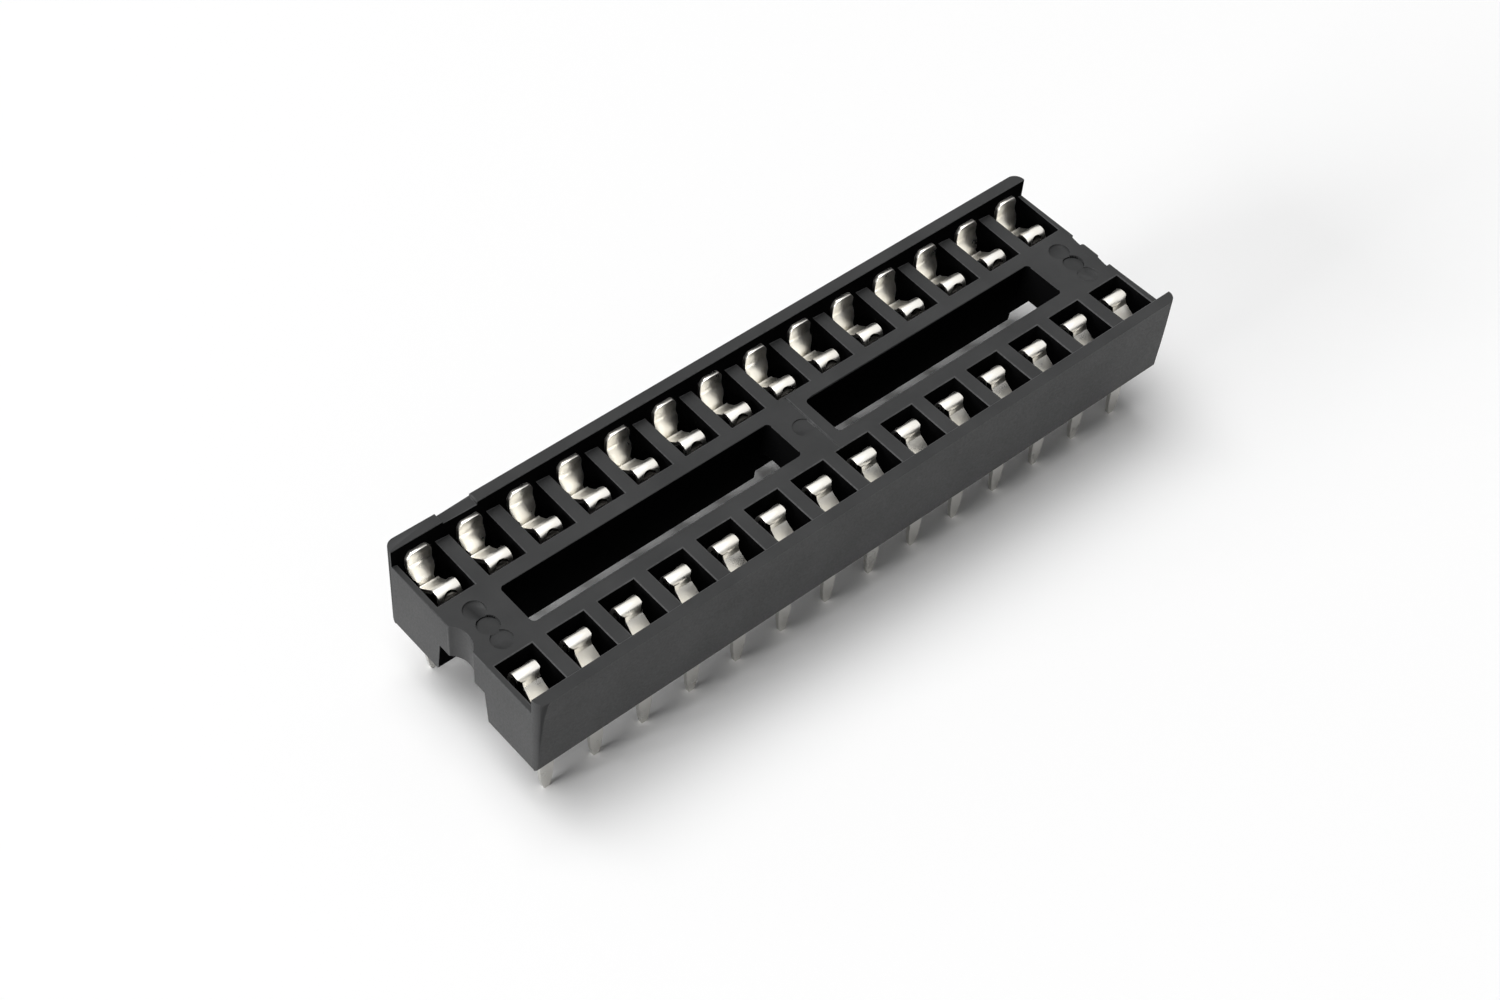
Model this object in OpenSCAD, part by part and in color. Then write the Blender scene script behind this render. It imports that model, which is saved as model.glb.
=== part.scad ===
// Dual-in-line chip socket, 2 x 14 contacts, narrow body.
// One moulded housing and 28 stamped and formed spring contacts.
// X runs along the rows, Y across them, Z up. Z = 0 is the plane of the tail tips.

/* [Layout] */
// Spacing of the contacts along a row
pitch = 2.54; // [2.5:0.01:2.7]
// Spacing between the two rows of contacts
row_spacing = 7.62; // [7.5:0.01:8.6]

/* [Housing] */
// Height of the deck above the underside that sits on the board
deck_height = 3.7; // [3.4:0.05:4.6]
// Height of the side walls above the deck
wall_rise = 0.95; // [0.7:0.05:1.6]
// Thickness of the side walls at their rim
wall_rim = 0.56; // [0.45:0.01:0.9]
// How far the outer faces lean out between the underside and the rim
wall_draft = 0.28; // [0:0.01:0.4]
// Radius of the four upright outer corners
corner_r = 0.5; // [0.2:0.05:0.55]
// Wall left outside the last pocket of each row
end_wall = 0.27; // [0.2:0.01:0.6]
// Thickness of the floor that each tail passes through
floor_t = 0.5; // [0.4:0.05:0.8]
// Bevel along the outer bottom edges
foot_bevel = 0.15; // [0.05:0.01:0.25]

/* [Pockets] */
// Width of each pocket along the row
pocket_w = 1.84; // [1.7:0.01:1.95]
// Distance from the row line to the inner edge of a pocket
pocket_in = 1.97; // [1.9:0.01:2.1]
// Distance from the row line to the inner face of the side wall
pocket_out = 0.71; // [0.68:0.01:1]
// Height of the ledge that backs each contact, above the pocket floor
ledge_h = 0.85; // [0.5:0.05:0.9]

/* [Windows and bridges] */
// Width of the two long windows at the deck
window_w = 2.2; // [1.8:0.05:2.4]
// How much wider the windows are at the underside
window_draft = 0.64; // [0:0.02:0.7]
// Radius of the window corners
window_r = 0.22; // [0.1:0.01:0.4]
// Length of the bridge at the near end, with the index notch
near_bridge = 2.72; // [2.2:0.02:3.4]
// Length of the bridge at the far end
far_bridge = 3.04; // [2.2:0.02:3.4]
// Length of the middle bridge
mid_bridge = 2.07; // [1.6:0.01:3]
// Offset of the middle bridge towards the far end
mid_shift = 0.19; // [0:0.01:0.5]
// Thickness of the bridges
bridge_t = 1.95; // [1.2:0.05:2.6]
// Width of the channel under the bridges, just below them
channel_w = 2.94; // [2.3:0.02:3.1]
// How much wider the channel is at the underside
channel_draft = 0.4; // [0:0.02:0.5]

/* [End marks] */
// Width of the rounded index notch in the near end
notch_w = 1.66; // [1:0.02:2]
// Depth of the index notch
notch_d = 0.4; // [0.2:0.02:0.6]
// Width of the shallow recess in the far end
recess_w = 2.3; // [2:0.05:2.6]
// Depth of the far end recess
recess_d = 0.18; // [0.1:0.01:0.3]
// Width of the tab inside the recess
tab_w = 1.04; // [0.6:0.02:1.4]
// How far the tab stands back from the end face
tab_back = 0.04; // [0.02:0.01:0.08]
// Diameter of the round ejector marks
mark_d = 0.98; // [0.6:0.02:1.2]
// Spacing of the ejector marks across the end bridges
mark_step = 0.9; // [0.8:0.02:1]
// Distance of the ejector marks from the end face
mark_in = 1.29; // [1.1:0.01:1.5]
// Offset of the row of ejector marks from the middle
mark_shift = 0.1; // [0:0.01:0.2]
// Depth of the middle ejector mark
mark_depth = 0.16; // [0.06:0.01:0.25]
// Length of the low stretch in one wall's rim
dip_l = 1.7; // [0.8:0.1:2]
// Depth of that low stretch
dip_d = 0.17; // [0.05:0.01:0.3]

/* [Contacts] */
// Thickness of the contact strip
strip_t = 0.2; // [0.15:0.01:0.22]
// Full width of the leaves
leaf_w = 1.19; // [1:0.01:1.3]
// Height of the tall leaf above the deck
leaf_top = 0.46; // [0.3:0.02:0.68]
// Width of the tall leaf's top edge
leaf_top_w = 0.84; // [0.6:0.02:0.95]
// Width of the neck between the tall leaf and the root plate
neck_w = 0.74; // [0.6:0.02:0.9]
// Width of the upright leg and the rolled crown
crown_w = 1.1; // [1:0.01:1.2]
// Depth of the rolled crown below the deck
crown_drop = 0.16; // [0.1:0.01:0.3]
// Outer radius of the rolled crown
crown_r = 0.4; // [0.36:0.01:0.44]
// Distance from the row line to the face of the upright leg
leg_in = 1.68; // [1.64:0.01:1.75]
// Depth of the tongue's tip below the deck
tongue_drop = 1.03; // [1:0.01:1.3]
// Width of the tongue at its crease
crease_w = 0.82; // [0.6:0.02:0.95]
// Width of the tongue's tip, which wipes the chip's lead
tongue_w = 0.94; // [0.7:0.02:1]
// Radius of the half-round opening in the crown
eye_r = 0.25; // [0.15:0.01:0.3]
// Strip left between that opening and the one the tail leaves
eye_web = 0.16; // [0.1:0.01:0.3]
// Running gap between the tongue's tip and the tall leaf
wipe_gap = 0.08; // [0.05:0.01:0.1]

/* [Tails] */
// Length of the tails below the housing
tail_len = 3.1; // [2.6:0.05:3.6]
// Width of a tail
tail_w = 0.68; // [0.5:0.02:0.7]
// Width of a tail at its blunt tip
tail_tip_w = 0.34; // [0.2:0.02:0.4]
// Length of the tapered end of a tail
tail_taper = 1.25; // [0.8:0.05:1.6]

/* [Fits] */
// Clearance of a contact in its pocket and of a tail in its slot
fit_gap = 0.02; // [0.01:0.005:0.03]
// Width of the cut that frees the tail from the strip
lance_gap = 0.04; // [0.03:0.005:0.05]

/* [Hidden] */
per_row = 14;
$fn = 48;
past = 1;

// Levels
seat_z = tail_len;
floor_z = seat_z + floor_t;
ledge_z = floor_z + ledge_h;
deck_z = seat_z + deck_height;
rim_z = deck_z + wall_rise;

// Plan sizes
row_y = row_spacing / 2;
row_l = (per_row - 1) * pitch;
body_l = row_l + pocket_w + 2 * end_wall;
wall_y = row_y + pocket_out;
rim_y = wall_y + wall_rim;
foot_y = rim_y - wall_draft;
mid_near = mid_shift - mid_bridge / 2;
mid_far = mid_shift + mid_bridge / 2;

// Contact, in its own frame: y = 0 is the row line, +y faces the side wall
base_z = floor_z + fit_gap + strip_t / 2;
root_r = 0.3;
heel_r = 0.35;
root_z = base_z + root_r;

// The upright leg, and the crown that stands a joggle further in
leg_y = -leg_in + strip_t / 2;
joggle = 0.07;
joggle_h = 0.1;
joggle_drop = 0.03;
crown_y = leg_y + joggle;
roll_r = crown_r - strip_t / 2;
crown_z = deck_z - crown_drop - strip_t / 2;
roll_y = crown_y + roll_r;
roll_z = crown_z - roll_r;
crown_turn = 70;

// The eye: the tilt of its axis, and its flat lower edge above the roll's centre
eye_tilt = 15;
eye_rise = 0.06;
eye_low = roll_z + eye_rise;

// The tall leaf leans out to the side wall between two levels below the deck
lean_drop = 1.43;
lean_top_drop = 0.36;
lean_back = 0.02;
leaf_lean = pocket_out - fit_gap - strip_t / 2;
lean_z = deck_z - lean_drop;
lean_top_z = deck_z - lean_top_drop;
lean_angle = atan(leaf_lean / (lean_top_z - lean_z));

// The tongue's tip stops short of the tall leaf, measured at the tip's lower edge
tongue_z = deck_z - tongue_drop - strip_t / 2;
tip_low = tongue_z - strip_t / 2;
lean_at_tip = max(0, tip_low - lean_z) * tan(lean_angle);
tip_y = lean_at_tip - strip_t / 2 / cos(lean_angle) - wipe_gap;

// Bend radii and short straights of the formed strip
lean_r = 0.8;
lean_top_r = 0.5;
crease_r = 0.12;
shoulder_l = 0.4;
tip_l = 0.12;

// The opening that the tail leaves ends a web below the eye
lance_end = eye_low - eye_web;

// --- Formed strip: a centre line given by its corners and bend radii ---

function unit(v) = v / norm(v);
function cross2(a, b) = a[0] * b[1] - a[1] * b[0];

// Points of the bend at corner p, on the strip's side given by off
function bend(a, p, b, r, off) =
    let (
        u = unit(p - a),
        v = unit(b - p),
        side = sign(cross2(u, v)),
        turn = acos(max(-1, min(1, u * v))),
        start = p - u * r * tan(turn / 2),
        n = [-u[1], u[0]],
        centre = start + n * r * side,
        steps = max(2, ceil(turn / 9))
    )
    [for (k = [0:steps])
        let (
            w = side * turn * k / steps,
            spoke = [n[0] * cos(w) - n[1] * sin(w), n[0] * sin(w) + n[1] * cos(w)]
        )
        centre + spoke * (off - r * side)];

// One side of a strip that follows the corners in path
function strip_side(path, radii, off) =
    let (
        last = len(path) - 1,
        first_dir = unit(path[1] - path[0]),
        last_dir = unit(path[last] - path[last - 1])
    )
    concat(
        [path[0] + [-first_dir[1], first_dir[0]] * off],
        [for (i = [1:last - 1]) each bend(path[i - 1], path[i], path[i + 1], radii[i], off)],
        [path[last] + [-last_dir[1], last_dir[0]] * off]
    );

function reversed(list) = [for (i = [len(list) - 1:-1:0]) list[i]];

// Outline of a strip of thickness strip_t
function strip_outline(path, radii) =
    concat(strip_side(path, radii, strip_t / 2), reversed(strip_side(path, radii, -strip_t / 2)));

// Extrudes an outline drawn in (y, z) along X, centred
module along_x(width) {
    rotate([90, 0, 90])
        translate([0, 0, -width / 2])
            linear_extrude(width)
                children();
}

// Extrudes an outline drawn in (x, z) along Y, from y0 to y1
module along_y(y0, y1) {
    translate([0, y1, 0])
        rotate([90, 0, 0])
            linear_extrude(y1 - y0)
                children();
}

module box(x0, x1, y0, y1, z0, z1) {
    translate([x0, y0, z0])
        cube([x1 - x0, y1 - y0, z1 - z0]);
}

// --- Housing ---

// Rectangle with round corners, made of squares and circles
module round_rect(l, w, r) {
    square([l - 2 * r, w], center = true);
    square([l, w - 2 * r], center = true);
    for (sx = [-1, 1], sy = [-1, 1])
        translate([sx * (l / 2 - r), sy * (w / 2 - r)])
            circle(r);
}

// Cross-section: two drafted walls standing on either side of the deck
module body_section() {
    polygon([
        [-foot_y + foot_bevel, seat_z],
        [foot_y - foot_bevel, seat_z],
        [foot_y, seat_z + foot_bevel],
        [rim_y, rim_z],
        [wall_y, rim_z],
        [wall_y, deck_z],
        [-wall_y, deck_z],
        [-wall_y, rim_z],
        [-rim_y, rim_z],
        [-foot_y, seat_z + foot_bevel]
    ]);
}

// Trapezoid cut, wider at the underside
module drafted_cut(top_w, draft, z_top) {
    polygon([
        [-top_w / 2, z_top],
        [top_w / 2, z_top],
        [(top_w + draft) / 2, seat_z],
        [(top_w + draft) / 2, seat_z - past],
        [-(top_w + draft) / 2, seat_z - past],
        [-(top_w + draft) / 2, seat_z]
    ]);
}

// One window from x0 to x1, through the deck with round corners and drafted below it
module window(x0, x1) {
    step = 0.5;
    translate([(x0 + x1) / 2, 0, 0]) {
        translate([0, 0, seat_z])
            linear_extrude(deck_height + past)
                round_rect(x1 - x0, window_w, window_r);
        along_x(x1 - x0 - 2 * window_r)
            drafted_cut(window_w, window_draft, deck_z - step);
    }
}

// Channel under each of the three bridges, as far as the straight sides of the windows
module channel() {
    end_x = body_l / 2;
    spans = [
        [-end_x - past, near_bridge - end_x + window_r],
        [mid_near - window_r, mid_far + window_r],
        [end_x - far_bridge - window_r, end_x + past]
    ];
    for (s = spans)
        translate([(s[0] + s[1]) / 2, 0, 0])
            along_x(s[1] - s[0])
                drafted_cut(channel_w, channel_draft, deck_z - bridge_t);
}

// Pocket of one contact, with its ledge and tail slot
module pocket() {
    x = pocket_w / 2;
    back = strip_t / 2 + fit_gap;
    slot_x = tail_w / 2 + fit_gap;
    box(-x, x, -pocket_in, back, floor_z, deck_z + past);
    box(-x, x, -pocket_in, pocket_out, ledge_z, deck_z + past);
    box(-slot_x, slot_x, -back, back, seat_z - past, floor_z + past / 2);
}

// Shallow round marks of the ejector pins on one end bridge
module ejector_marks(x, depths) {
    for (i = [0:2])
        translate([x, (1 - i) * mark_step - mark_shift, deck_z - depths[i]])
            cylinder(h = past, d = mark_d);
}

// Witness marks on the middle bridge: a faint disc, and the line where two mould inserts met
module middle_marks() {
    disc_d = 0.05;
    line_x = mid_shift + 0.44;
    line_w = 0.07;
    line_d = 0.08;
    line_end = 0.12;
    reach = row_y - pocket_in - line_end;
    box(line_x, line_x + line_w, -reach, reach, deck_z - line_d, deck_z + past);
    translate([mid_shift, 0, deck_z - disc_d])
        cylinder(h = past, d = mark_d);
}

// Index notch in the near end: a round scoop through the bridge
module index_notch() {
    r = (notch_w * notch_w / 4 + notch_d * notch_d) / (2 * notch_d);
    translate([-body_l / 2 + notch_d - r, 0, seat_z - past])
        cylinder(h = deck_height + 2 * past, r = r);
}

// Recess in the far end, around a low tab that fits the notch of a second socket
module far_recess() {
    end_x = body_l / 2;
    tab_r = 0.12;
    tab_x = end_x - tab_back;
    difference() {
        box(end_x - recess_d, end_x + past, -recess_w / 2, recess_w / 2, seat_z - past, deck_z + past);
        translate([tab_x - recess_w / 2, 0, seat_z - 2 * past])
            linear_extrude(deck_height + 4 * past)
                round_rect(recess_w, tab_w, tab_r);
    }
}

module housing() {
    marks = [mark_depth * 0.6, mark_depth, mark_depth * 0.5];
    dip_shift = 0.33;
    dip_x = -row_l / 2 + pitch - dip_shift;
    color("dimgray")
        difference() {
            intersection() {
                along_x(body_l)
                    body_section();
                translate([0, 0, seat_z - past])
                    linear_extrude(rim_z - seat_z + 2 * past)
                        round_rect(body_l, 2 * rim_y, corner_r);
            }
            window(near_bridge - body_l / 2, mid_near);
            window(mid_far, body_l / 2 - far_bridge);
            channel();
            for (i = [0:per_row - 1], turn = [0, 180])
                rotate([0, 0, turn])
                    translate([-row_l / 2 + i * pitch, row_y, 0])
                        pocket();
            ejector_marks(-body_l / 2 + mark_in, marks);
            ejector_marks(body_l / 2 - mark_in, marks);
            middle_marks();
            index_notch();
            far_recess();
            box(dip_x - dip_l / 2, dip_x + dip_l / 2, wall_y - past, rim_y + past, rim_z - dip_d, rim_z + past);
        }
}

// --- Contacts ---

// Corners of the upright strip: root plate, lean and tall leaf
leaf_path = [
    [0, root_z],
    [0, lean_z],
    [leaf_lean, lean_top_z],
    [leaf_lean - lean_back, deck_z + leaf_top]
];
leaf_radii = [0, lean_r, lean_top_r, 0];

// Corners of the inner strip: base, upright leg, rolled crown and tongue
crown_b = [roll_y + roll_r * tan(crown_turn / 2), crown_z];
crease = crown_b + shoulder_l * [cos(crown_turn), -sin(crown_turn)];
spring_path = [
    [0, root_z],
    [0, base_z],
    [leg_y, base_z],
    [leg_y, roll_z - joggle_drop - joggle_h],
    [crown_y, roll_z - joggle_drop],
    [crown_y, crown_z],
    crown_b,
    crease,
    [tip_y - tip_l, tongue_z],
    [tip_y, tongue_z]
];
spring_radii = [0, root_r, heel_r, crease_r, crease_r, roll_r, roll_r, crease_r, crease_r, 0];

// Outline of the upright strip, seen along Y: tall leaf, neck, and root plate with two wings
module leaf_outline() {
    w = leaf_w / 2;
    neck = neck_w / 2;
    tip = leaf_top_w / 2;
    cut = 0.05;

    // The tall leaf narrows to its top edge over flare, and to its neck over waist
    top = deck_z + leaf_top;
    flare = 0.32;
    wide_z = deck_z - 0.6;
    waist = 0.45;

    // The root plate below the neck, with wings that stand under the ledges
    neck_z = ledge_z + 0.6;
    root_rise = 0.2;
    wing_x = pocket_w / 2 - fit_gap;
    wing_z = ledge_z - 0.1;
    wing_h = 0.36;

    half = [
        [tip - cut, top],
        [tip + cut / 2, top - cut],
        [w - cut / 2, top - flare + 1.5 * cut],
        [w, top - flare],
        [w, wide_z],
        [w - cut, wide_z - waist * 0.4],
        [neck, wide_z - waist],
        [neck, neck_z],
        [w, neck_z - root_rise],
        [w, wing_z + cut],
        [wing_x, wing_z],
        [wing_x - cut, wing_z - wing_h + cut],
        [w, wing_z - wing_h],
        [w, root_z]
    ];
    polygon(concat(half, [for (p = reversed(half)) [-p[0], p[1]]]));
}

// Outline of a tail with its tip at zero, grown by gap; top is its straight end.
// The taper is a shallow curve, given by its shares of the taper's width and length.
module tail_outline(top, gap) {
    w = tail_w / 2 + gap;
    tip = tail_tip_w / 2 + gap;
    cut = 0.06;
    taper = [[0.6, 0.45], [0.85, 0.75], [1, 1]];
    half = concat(
        [[tip - cut, -gap], [tip, cut - gap]],
        [for (s = taper) [tip + (w - tip) * s[0], tail_taper * s[1]]],
        [[w, top]]
    );
    polygon(concat(half, [for (p = reversed(half)) [-p[0], p[1]]]));
}

// What is cut from both edges of the strip: crown narrows to the crease, tongue flares to its tip
module shoulder_trims() {
    reach = crown_w / 2 + past;
    shoulder = [
        [crown_w / 2, crown_b[0]],
        [crease_w / 2, crease[0]],
        [tongue_w / 2, tip_y],
        [tongue_w / 2, tip_y + past],
        [reach, tip_y + past],
        [reach, crown_b[0]]
    ];
    for (s = [0, 1])
        mirror([s, 0, 0])
            translate([0, 0, tongue_z - past / 2])
                linear_extrude(crown_z - tongue_z + past)
                    polygon(shoulder);
}

// Half-round opening in the crown's inner side, with walls that point at the roll's centre
module eye() {
    reach = crown_r + strip_t;
    mouth_r = reach * eye_r / sqrt(crown_r * crown_r - eye_r * eye_r);
    intersection() {
        translate([0, roll_y, roll_z])
            rotate([90 - eye_tilt, 0, 0])
                cylinder(h = reach, r1 = 0, r2 = mouth_r);
        box(-past, past, -leg_in - past, 0, eye_low, deck_z);
    }
}

// Opening that the tail leaves: round the root bend, along the base, up the leg
module lance() {
    w = tail_w / 2 + lance_gap;
    box(-w, w, leg_y - strip_t, strip_t, base_z - strip_t, root_z);
    along_y(leg_y - strip_t, leg_y + strip_t)
        translate([0, lance_end])
            mirror([0, 1])
                tail_outline(lance_end - root_z + strip_t / 2, lance_gap);
}

// One contact: tall leaf, spring and tail, all from a single strip
module contact() {
    color("gainsboro")
        union() {
            intersection() {
                along_x(pocket_w)
                    polygon(strip_outline(leaf_path, leaf_radii));
                along_y(-strip_t, leaf_lean + strip_t)
                    leaf_outline();
            }
            difference() {
                along_x(crown_w)
                    polygon(strip_outline(spring_path, spring_radii));
                shoulder_trims();
                eye();
                lance();
            }
            along_y(-strip_t / 2, strip_t / 2)
                tail_outline(root_z + strip_t / 2, 0);
        }
}

// Contact n, counted along one row and back along the other
module contact_at(n) {
    turn = n <= per_row ? 180 : 0;
    i = (n - 1) % per_row;
    rotate([0, 0, turn])
        translate([row_l / 2 - i * pitch, row_y, 0])
            contact();
}

housing();
contact_at(1);  // contact_01
contact_at(2);  // contact_02
contact_at(3);  // contact_03
contact_at(4);  // contact_04
contact_at(5);  // contact_05
contact_at(6);  // contact_06
contact_at(7);  // contact_07
contact_at(8);  // contact_08
contact_at(9);  // contact_09
contact_at(10);  // contact_10
contact_at(11);  // contact_11
contact_at(12);  // contact_12
contact_at(13);  // contact_13
contact_at(14);  // contact_14
contact_at(15);  // contact_15
contact_at(16);  // contact_16
contact_at(17);  // contact_17
contact_at(18);  // contact_18
contact_at(19);  // contact_19
contact_at(20);  // contact_20
contact_at(21);  // contact_21
contact_at(22);  // contact_22
contact_at(23);  // contact_23
contact_at(24);  // contact_24
contact_at(25);  // contact_25
contact_at(26);  // contact_26
contact_at(27);  // contact_27
contact_at(28);  // contact_28
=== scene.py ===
import math

import bmesh
import bpy
from mathutils import Matrix, Vector


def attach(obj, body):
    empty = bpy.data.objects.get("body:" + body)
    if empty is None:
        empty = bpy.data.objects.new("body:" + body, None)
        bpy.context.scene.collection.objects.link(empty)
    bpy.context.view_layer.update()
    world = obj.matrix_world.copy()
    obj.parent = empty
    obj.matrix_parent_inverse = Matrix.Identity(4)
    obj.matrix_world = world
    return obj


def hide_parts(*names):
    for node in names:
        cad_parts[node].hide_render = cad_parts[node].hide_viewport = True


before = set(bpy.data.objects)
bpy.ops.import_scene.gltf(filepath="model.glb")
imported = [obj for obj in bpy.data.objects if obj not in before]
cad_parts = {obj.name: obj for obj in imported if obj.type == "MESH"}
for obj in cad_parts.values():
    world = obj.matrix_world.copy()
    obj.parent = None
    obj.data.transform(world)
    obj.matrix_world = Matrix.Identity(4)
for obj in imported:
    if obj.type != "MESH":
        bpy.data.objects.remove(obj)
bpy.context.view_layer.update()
mm = 0.001
contactNames = [name for name in sorted(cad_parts) if name.startswith("contact")]


def pieceFrom(name, bm, material, node):
    mesh = bpy.data.meshes.new(name)
    bm.to_mesh(mesh)
    bm.free()
    mesh.materials.append(material)
    piece = bpy.data.objects.new(name, mesh)
    bpy.context.scene.collection.objects.link(piece)
    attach(piece, "root")
    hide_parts(node)
    return piece


cleanUp = {
    "mergeWithin": 0.0005,
    "flatAngle": 0.5,
    "smoothUpTo": 40,
}


# A CAD node as a clean mesh: doubles merged and flat faces joined
def meshOf(node):
    bm = bmesh.new()
    bm.from_mesh(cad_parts[node].data)
    bmesh.ops.remove_doubles(bm, verts=bm.verts, dist=cleanUp["mergeWithin"] * mm)
    bmesh.ops.dissolve_limit(
        bm, angle_limit=math.radians(cleanUp["flatAngle"]), use_dissolve_boundaries=False,
        verts=bm.verts, edges=bm.edges, delimit=set())
    return bm


def sharpEdges(bm, angle, shortest):
    return [
        edge for edge in bm.edges
        if len(edge.link_faces) == 2
        and edge.calc_face_angle(0) > math.radians(angle)
        and edge.calc_length() > shortest]


def smoothShade(piece):
    for polygon in piece.data.polygons:
        polygon.use_smooth = True
    piece.data.set_sharp_from_angle(angle=math.radians(cleanUp["smoothUpTo"]))
    weighted = piece.modifiers.new("evenNormals", "WEIGHTED_NORMAL")
    weighted.keep_sharp = True


def addNode(tree, kind, links=None, **settings):
    node = tree.nodes.new(kind)
    for key, value in settings.items():
        setattr(node, key, value)
    for key, value in (links or {}).items():
        if isinstance(value, bpy.types.NodeSocket):
            tree.links.new(value, node.inputs[key])
        else:
            node.inputs[key].default_value = value
    return node


# Object coordinates in millimetres, so that a noise scale is one over a size in millimetres
def startMaterial(name):
    material = bpy.data.materials.new(name)
    material.use_nodes = True
    tree = material.node_tree
    shader = tree.nodes["Principled BSDF"]
    coords = addNode(tree, "ShaderNodeTexCoord")
    inMm = addNode(tree, "ShaderNodeMapping", {"Vector": coords.outputs["Object"]})
    inMm.inputs["Scale"].default_value = (1 / mm, 1 / mm, 1 / mm)
    return material, tree, shader, inMm.outputs["Vector"]


def noiseOf(tree, vector, size, detail=3.0, roughness=0.55, stretch=None):
    if stretch:
        squeeze = addNode(tree, "ShaderNodeMapping", {"Vector": vector})
        squeeze.inputs["Scale"].default_value = stretch
        vector = squeeze.outputs["Vector"]
    noise = addNode(tree, "ShaderNodeTexNoise", {
        "Vector": vector, "Scale": 1 / size, "Detail": detail, "Roughness": roughness})
    return noise.outputs["Fac"]


def spread(tree, value, low, high, fromLow=0.3, fromHigh=0.7):
    ranged = addNode(tree, "ShaderNodeMapRange", {
        "Value": value, "From Min": fromLow, "From Max": fromHigh, "To Min": low, "To Max": high})
    return ranged.outputs["Result"]


def mixColour(tree, factor, first, second):
    mix = addNode(tree, "ShaderNodeMix", data_type="RGBA")
    for socket, value in ((0, factor), (6, first), (7, second)):
        if isinstance(value, bpy.types.NodeSocket):
            tree.links.new(value, mix.inputs[socket])
        else:
            mix.inputs[socket].default_value = value if socket == 0 else (*value, 1)
    return mix.outputs[2]


plastic = {
    "dark": (0.036, 0.0365, 0.037),
    "pale": (0.049, 0.0495, 0.05),
    "rubbed": (0.085, 0.086, 0.087),
    # painted shade: near black, with shadedSpecular, on the faces where little light gets
    "shaded": (0.004, 0.004, 0.0042),
    "shadedSpecular": 0.0,
    "wear": (0.2, 1.0),
    "cloudSize": 2.4,
    "grainSize": 0.11,
    "grainDepth": 0.004,
    "bump": 0.6,
    "specksSize": 0.035,
    "roughness": (0.36, 0.5),
    "ior": 1.43,
    "specular": 0.15,
}


def makePlastic():
    material, tree, shader, vector = startMaterial("mouldedPlastic")
    cloud = noiseOf(tree, vector, plastic["cloudSize"], detail=4)
    grain = noiseOf(tree, vector, plastic["grainSize"], detail=3)
    specks = noiseOf(tree, vector, plastic["specksSize"], detail=1)
    colour = mixColour(tree, spread(tree, cloud, 0, 1), plastic["dark"], plastic["pale"])
    edge = addNode(tree, "ShaderNodeAttribute", attribute_name="edgeWear")
    patchy = addNode(tree, "ShaderNodeMath", {
        0: edge.outputs["Fac"], 1: spread(tree, grain, *plastic["wear"])}, operation="MULTIPLY")
    colour = mixColour(tree, patchy.outputs[0], colour, plastic["rubbed"])
    # painted shade: the marked pocket, window and side-wall faces are mixed to the near-black shaded
    # colour and lose their specular below
    shadePaint = addNode(tree, "ShaderNodeAttribute", attribute_name="paintedShade")
    colour = mixColour(tree, shadePaint.outputs["Fac"], colour, plastic["shaded"])
    tree.links.new(colour, shader.inputs["Base Color"])
    tree.links.new(spread(tree, grain, *plastic["roughness"]), shader.inputs["Roughness"])
    gloss = spread(tree, shadePaint.outputs["Fac"], plastic["specular"], plastic["shadedSpecular"], 0, 1)
    tree.links.new(gloss, shader.inputs["Specular IOR Level"])
    height = addNode(tree, "ShaderNodeMath", {0: grain, 1: specks}, operation="ADD")
    bump = addNode(tree, "ShaderNodeBump", {
        "Height": height.outputs[0], "Distance": plastic["grainDepth"] * mm, "Strength": plastic["bump"]})
    tree.links.new(bump.outputs["Normal"], shader.inputs["Normal"])
    shader.inputs["IOR"].default_value = plastic["ior"]
    return material


tin = {
    "bright": (0.90, 0.885, 0.84),
    "dull": (0.83, 0.80, 0.73),
    # painted shade: the tails are painted darker, standing in for the shade under the housing that they
    # mirror
    "tail": (0.62, 0.61, 0.58),
    # painted shade for the contacts low in the pockets and inside the crown
    "shaded": (0.05, 0.048, 0.043),
    "cloudSize": 0.7,
    "rollSize": 0.05,
    "rollStretch": (1, 0.08, 0.08),
    "rollDepth": 0.0003,
    "bump": 0.3,
    "roughness": (0.26, 0.38),
    "seat": 3.1,  # height of the housing's underside, with the tails below it
    "darkFrom": 5.15,  # painted shade: a contact is painted fully dark from here down to the seat
    "dimFrom": 5.7,  # and keeps its own colour from here up, the painted shade fading in between
}


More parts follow.
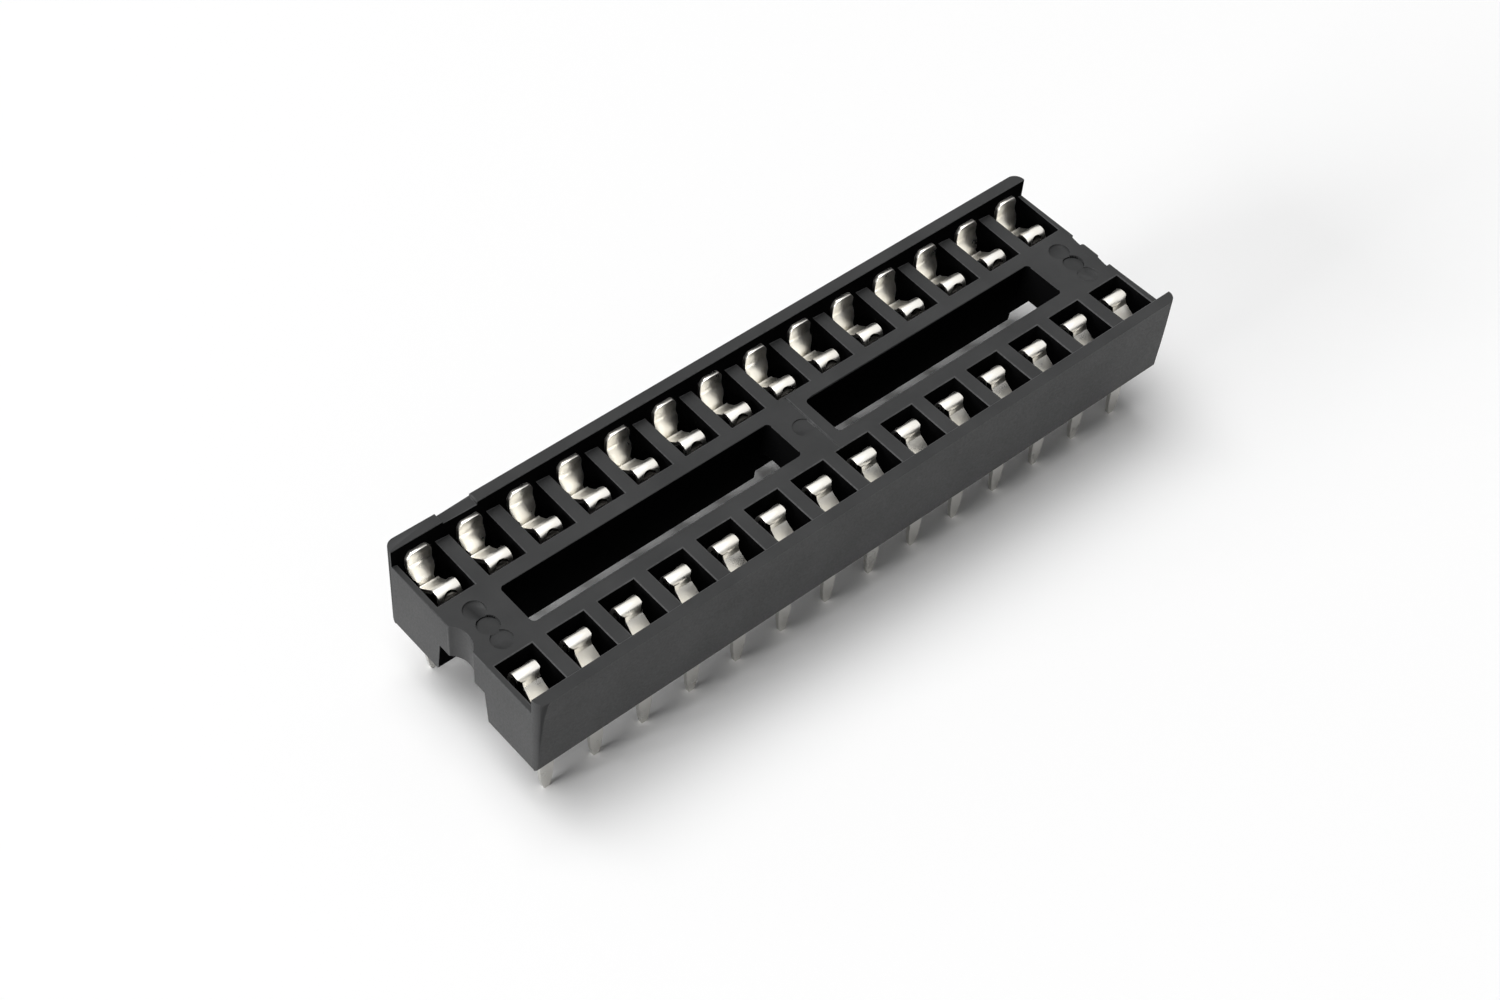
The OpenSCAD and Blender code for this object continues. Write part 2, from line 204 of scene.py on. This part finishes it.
# Painted shade: bright over the deck, painted dark low in the pockets and inside the crown, and painted
# darker on the tails, where the tin mirrors the shade under the housing
def makeTin():
    material, tree, shader, vector = startMaterial("tinPlate")
    cloud = noiseOf(tree, vector, tin["cloudSize"], detail=3)
    rolled = noiseOf(tree, vector, tin["rollSize"], detail=2, stretch=tin["rollStretch"])
    colour = mixColour(tree, spread(tree, cloud, 0, 1), tin["dull"], tin["bright"])
    # painted shade inside the rolled crown, from the faces marked in makeContact
    rollShade = addNode(tree, "ShaderNodeAttribute", attribute_name="paintedShade")
    height = addNode(tree, "ShaderNodeSeparateXYZ", {"Vector": vector}).outputs["Z"]
    # painted shade: above the seat the contacts fade to the dark shaded colour from dimFrom down to
    # darkFrom
    pocketShade = spread(tree, height, 1, 0, tin["darkFrom"], tin["dimFrom"])
    overSeat = addNode(tree, "ShaderNodeMath", {
        0: height, 1: tin["seat"]}, operation="GREATER_THAN")
    # painted shade: the tails below the seat take the darker tail colour
    colour = mixColour(tree, overSeat.outputs[0], tin["tail"], colour)
    shadeAboveSeat = addNode(tree, "ShaderNodeMath", {
        0: pocketShade, 1: overSeat.outputs[0]}, operation="MULTIPLY")
    shadePaint = addNode(tree, "ShaderNodeMath", {
        0: shadeAboveSeat.outputs[0], 1: rollShade.outputs["Fac"]}, operation="MAXIMUM")
    colour = mixColour(tree, shadePaint.outputs[0], colour, tin["shaded"])
    tree.links.new(colour, shader.inputs["Base Color"])
    smooth, rough = tin["roughness"]
    tree.links.new(spread(tree, cloud, rough, smooth), shader.inputs["Roughness"])
    bump = addNode(tree, "ShaderNodeBump", {
        "Height": rolled, "Distance": tin["rollDepth"] * mm, "Strength": tin["bump"]})
    tree.links.new(bump.outputs["Normal"], shader.inputs["Normal"])
    shader.inputs["Metallic"].default_value = 1
    return material


housing = {
    "edgeRound": 0.045, "roundSteps": 2, "shortest": 0.25, "sharpFrom": 35,
    "deck": 6.8, "seat": 3.1,  # heights of the deck and of the underside
    "wallInside": 4.52,  # inner faces of the side walls
    "pocketFrom": 1.8,  # inner ends of the pockets
    "endInside": 17.5, "bridgeInside": 17.2,  # along the rows, at the pockets and at the bridges
    "nearSurface": 0.1, "markDepth": 0.3,
    "cornerX": 17.0, "cornerY": 4.4, "cornerSlope": 0.5,
    "upward": 0.5, "sideways": 0.9,  # what a face's normal has to reach
}


def underDeck(z):
    near = housing["nearSurface"]
    return housing["seat"] + near < z < housing["deck"] - near


# Walls of the pockets and windows, and the inner faces of the side walls, where little light gets; these
# faces get a painted shade, near black and without specular
def getsPaintedShade(face):
    x, y, z = face.calc_center_median() / mm
    near = housing["nearSurface"]
    end = housing["endInside"] if abs(y) > housing["pocketFrom"] else housing["bridgeInside"]
    inPlan = abs(y) < housing["wallInside"] + near and abs(x) < end
    markFloor = face.normal.z > housing["upward"] and z > housing["deck"] - housing["markDepth"]
    onSideWall = z > housing["deck"] + near and abs(face.normal.y) > housing["sideways"]
    return inPlan and (onSideWall or (underDeck(z) and not markFloor))


# Edges that stay sharp inside the pockets and windows
def isInside(edge):
    x, y, z = (edge.verts[0].co + edge.verts[1].co) / 2 / mm
    return abs(x) < housing["endInside"] and abs(y) < housing["wallInside"] and underDeck(z)


# The four upright corners are round already, so their slanting edges stay as they are
def atCorner(edge):
    along = (edge.verts[0].co - edge.verts[1].co) / mm
    slanting = abs(along.z) > housing["cornerSlope"] * along.length
    return slanting and all(
        abs(vert.co.x / mm) > housing["cornerX"] and abs(vert.co.y / mm) > housing["cornerY"]
        for vert in edge.verts)


def makeHousing(material):
    bm = meshOf("housing")
    wear = bm.faces.layers.float.new("edgeWear")
    shadePaint = bm.faces.layers.float.new("paintedShade")
    sharp = sharpEdges(bm, housing["sharpFrom"], housing["shortest"] * mm)
    worn = [edge for edge in sharp if not atCorner(edge) and not isInside(edge)]
    rounded = bmesh.ops.bevel(
        bm, geom=worn, offset=housing["edgeRound"] * mm, offset_type="OFFSET",
        segments=housing["roundSteps"], profile=0.5, affect="EDGES", clamp_overlap=False,
        loop_slide=True, material=-1)
    for face in rounded["faces"]:
        face[wear] = 1
    bm.normal_update()
    # mark the faces that get the painted shade
    for face in bm.faces:
        if not face[wear] and getsPaintedShade(face):
            face[shadePaint] = 1
    piece = pieceFrom("mouldedHousing", bm, material, "housing")
    smoothShade(piece)
    print("housing", len(piece.data.polygons), "faces")


contact = {
    "edgeRound": 0.018, "roundSteps": 2, "shortest": 0.02, "sharpFrom": 50,
    "rollAt": (2.6, 6.24), "rollRadius": 0.385, "sideNormal": 0.95,
}


# Faces inside the rolled crown, with the walls of its opening but not the strip's side edges; they get a
# painted shade, near black
def getsPaintedRollShade(face):
    x, y, z = face.calc_center_median() / mm
    fromAxis = math.hypot(abs(y) - contact["rollAt"][0], z - contact["rollAt"][1])
    return fromAxis < contact["rollRadius"] and abs(face.normal.x) < contact["sideNormal"]


def makeContact(node, material):
    bm = meshOf(node)
    cut = sharpEdges(bm, contact["sharpFrom"], contact["shortest"] * mm)
    bmesh.ops.bevel(
        bm, geom=cut, offset=contact["edgeRound"] * mm, offset_type="OFFSET",
        segments=contact["roundSteps"], profile=0.5, affect="EDGES", clamp_overlap=True,
        loop_slide=True, material=-1)
    # painted shade: faces inside the rolled crown are marked for the dark shaded tin colour
    shadePaint = bm.faces.layers.float.new("paintedShade")
    bm.normal_update()
    for face in bm.faces:
        face[shadePaint] = 1 if getsPaintedRollShade(face) else 0
    piece = pieceFrom("formed_" + node, bm, material, node)
    smoothShade(piece)


studio = {
    "floorSize": 12.0,
    "floorColour": 0.97,
    "floorRoughness": 0.9,
    "floorSpecular": 0.1,
    "worldLight": 0.14,
    "keyAt": (-0.5, 0.4, 2.5),
    "keySize": 2.0,
    "keyPower": 60.5,
    "sideAt": (-2.4, 0.25, 0.5),
    "sideSize": 1.0,
    "sidePower": 44.0,
}


def viewedDirectly(tree):
    path = addNode(tree, "ShaderNodeLightPath")
    either = path.outputs["Is Camera Ray"]
    for name in ("Is Glossy Ray", "Is Transmission Ray"):
        more = addNode(tree, "ShaderNodeMath", {0: either, 1: path.outputs[name]}, operation="MAXIMUM")
        either = more.outputs[0]
    return either


# White where it is seen or mirrored, and only a weak light on everything else
def makeWorld():
    world = bpy.data.worlds.new("studio")
    world.use_nodes = True
    bpy.context.scene.world = world
    tree = world.node_tree
    background = tree.nodes["Background"]
    strength = spread(tree, viewedDirectly(tree), studio["worldLight"], 1.0, 0, 1)
    tree.links.new(strength, background.inputs["Strength"])
    background.inputs["Color"].default_value = (1, 1, 1, 1)


def makeFloor():
    bm = bmesh.new()
    bmesh.ops.create_grid(bm, x_segments=1, y_segments=1, size=studio["floorSize"] / 2)
    mesh = bpy.data.meshes.new("floor")
    bm.to_mesh(mesh)
    bm.free()
    floor = bpy.data.objects.new("floor", mesh)
    bpy.context.scene.collection.objects.link(floor)
    material = bpy.data.materials.new("floorWhite")
    material.use_nodes = True
    shader = material.node_tree.nodes["Principled BSDF"]
    shader.inputs["Base Color"].default_value = (*[studio["floorColour"]] * 3, 1)
    shader.inputs["Roughness"].default_value = studio["floorRoughness"]
    shader.inputs["Specular IOR Level"].default_value = studio["floorSpecular"]
    mesh.materials.append(material)


def makeLamp(name, place, size, power):
    light = bpy.data.lights.new(name, "AREA")
    light.shape = "SQUARE"
    light.size = size
    light.energy = power
    lamp = bpy.data.objects.new(name, light)
    bpy.context.scene.collection.objects.link(lamp)
    lamp.location = place
    lamp.rotation_mode = "QUATERNION"
    lamp.rotation_quaternion = (-Vector(place)).to_track_quat("-Z", "Y")


view = {
    "place": (-50.314, -48.097, 84.547),
    "azimuth": -44.781, "elevation": 49.899, "roll": 5.116,
    "lens": 59.54, "sensorWidth": 36,
    "clip": (0.001, 10.0),
}


def makeCamera():
    azimuth, elevation, roll = (math.radians(view[key]) for key in ("azimuth", "elevation", "roll"))
    back = Vector((
        math.sin(azimuth) * math.cos(elevation),
        -math.cos(azimuth) * math.cos(elevation),
        math.sin(elevation)))
    level = Vector((math.cos(azimuth), math.sin(azimuth), 0))
    rise = back.cross(level)
    right = level * math.cos(roll) + rise * math.sin(roll)
    up = rise * math.cos(roll) - level * math.sin(roll)
    data = bpy.data.cameras.new("camera")
    data.lens = view["lens"]
    data.sensor_width = view["sensorWidth"]
    data.clip_start, data.clip_end = view["clip"]
    camera = bpy.data.objects.new("camera", data)
    bpy.context.scene.collection.objects.link(camera)
    turn = Matrix((right, up, back)).transposed()
    camera.matrix_world = Matrix.Translation(Vector(view["place"]) * mm) @ turn.to_4x4()
    bpy.context.scene.camera = camera


print("camera, lamps and floor")
makeCamera()
makeWorld()
makeFloor()
makeLamp("keyLamp", studio["keyAt"], studio["keySize"], studio["keyPower"])
makeLamp("sideLamp", studio["sideAt"], studio["sideSize"], studio["sidePower"])
bpy.context.scene.view_settings.view_transform = "Standard"

print("housing")
makeHousing(makePlastic())

print("contacts")
tinPlate = makeTin()
for node in contactNames:
    makeContact(node, tinPlate)
